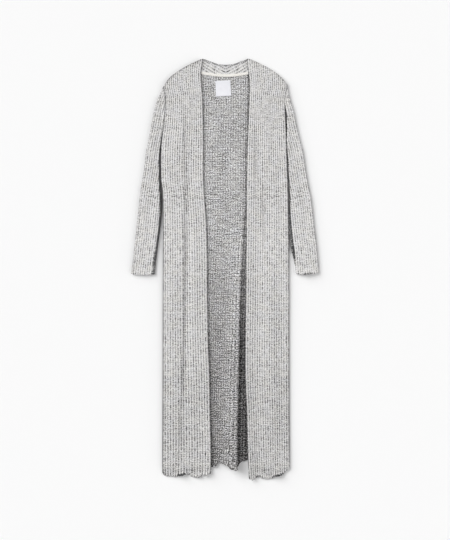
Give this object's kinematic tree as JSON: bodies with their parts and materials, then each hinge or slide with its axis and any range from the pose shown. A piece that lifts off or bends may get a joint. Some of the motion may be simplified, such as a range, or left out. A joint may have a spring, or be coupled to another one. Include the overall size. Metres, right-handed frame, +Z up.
{
  "type": "duster cardigan",
  "caption": "Long open-front rib-knit cardigan laid flat, with long tapering sleeves, a grown-on ribbed neck band, wavy rolled hems, neck tape and a bare neck label.",
  "frame": {"origin": "middle of the laid garment's outline, on the surface that it lies on", "axes": "+Y from the hem to the neck, +X to the viewer's right with the front up, +Z up from the surface"},
  "size_m": [0.567, 1.2585, 0.023],
  "materials": {
    "knit": "soft matt light grey marl viscose and wool rib knit",
    "tape": "matt cream herringbone cotton tape",
    "label": "smooth white woven satin, bare"
  },
  "bodies": {
    "root": {"back": "knit", "front_left": "knit", "front_right": "knit", "sleeve_left": "knit", "sleeve_right": "knit", "collar_left": "knit", "collar_right": "knit", "neck_tape": "tape", "neck_label": "label"}
  },
  "joints": []
}
